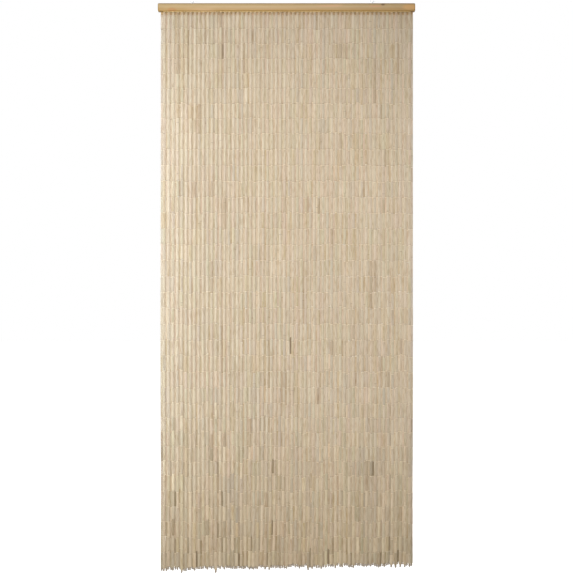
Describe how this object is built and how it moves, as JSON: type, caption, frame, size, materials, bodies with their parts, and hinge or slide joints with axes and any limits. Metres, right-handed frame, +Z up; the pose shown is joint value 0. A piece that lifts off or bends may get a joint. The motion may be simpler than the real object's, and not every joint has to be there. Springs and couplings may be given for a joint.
{
  "type": "bamboo strand door curtain with its hanging bar",
  "caption": "Door curtain of bamboo tube strands in two staggered rows, hanging from a rounded wooden bar with screw eyes on top.",
  "frame": {"origin": "middle of the bar's flat top face", "axes": "+Z up, along the strands from foot to bar; +X along the bar, to the right as seen from the front; the front faces -Y"},
  "size_m": [0.9, 0.024, 2.0099],
  "materials": {
    "pine": "clear satin varnish on pine",
    "bamboo": "natural split bamboo, slightly glossy skin",
    "bamboo_back": "natural split bamboo, slightly glossy skin",
    "steel": "zinc plated wire"
  },
  "bodies": {
    "root": {"bar": "pine", "front_strands": "bamboo", "back_strands": "bamboo_back", "eye_left": "steel", "eye_right": "steel"}
  },
  "joints": []
}
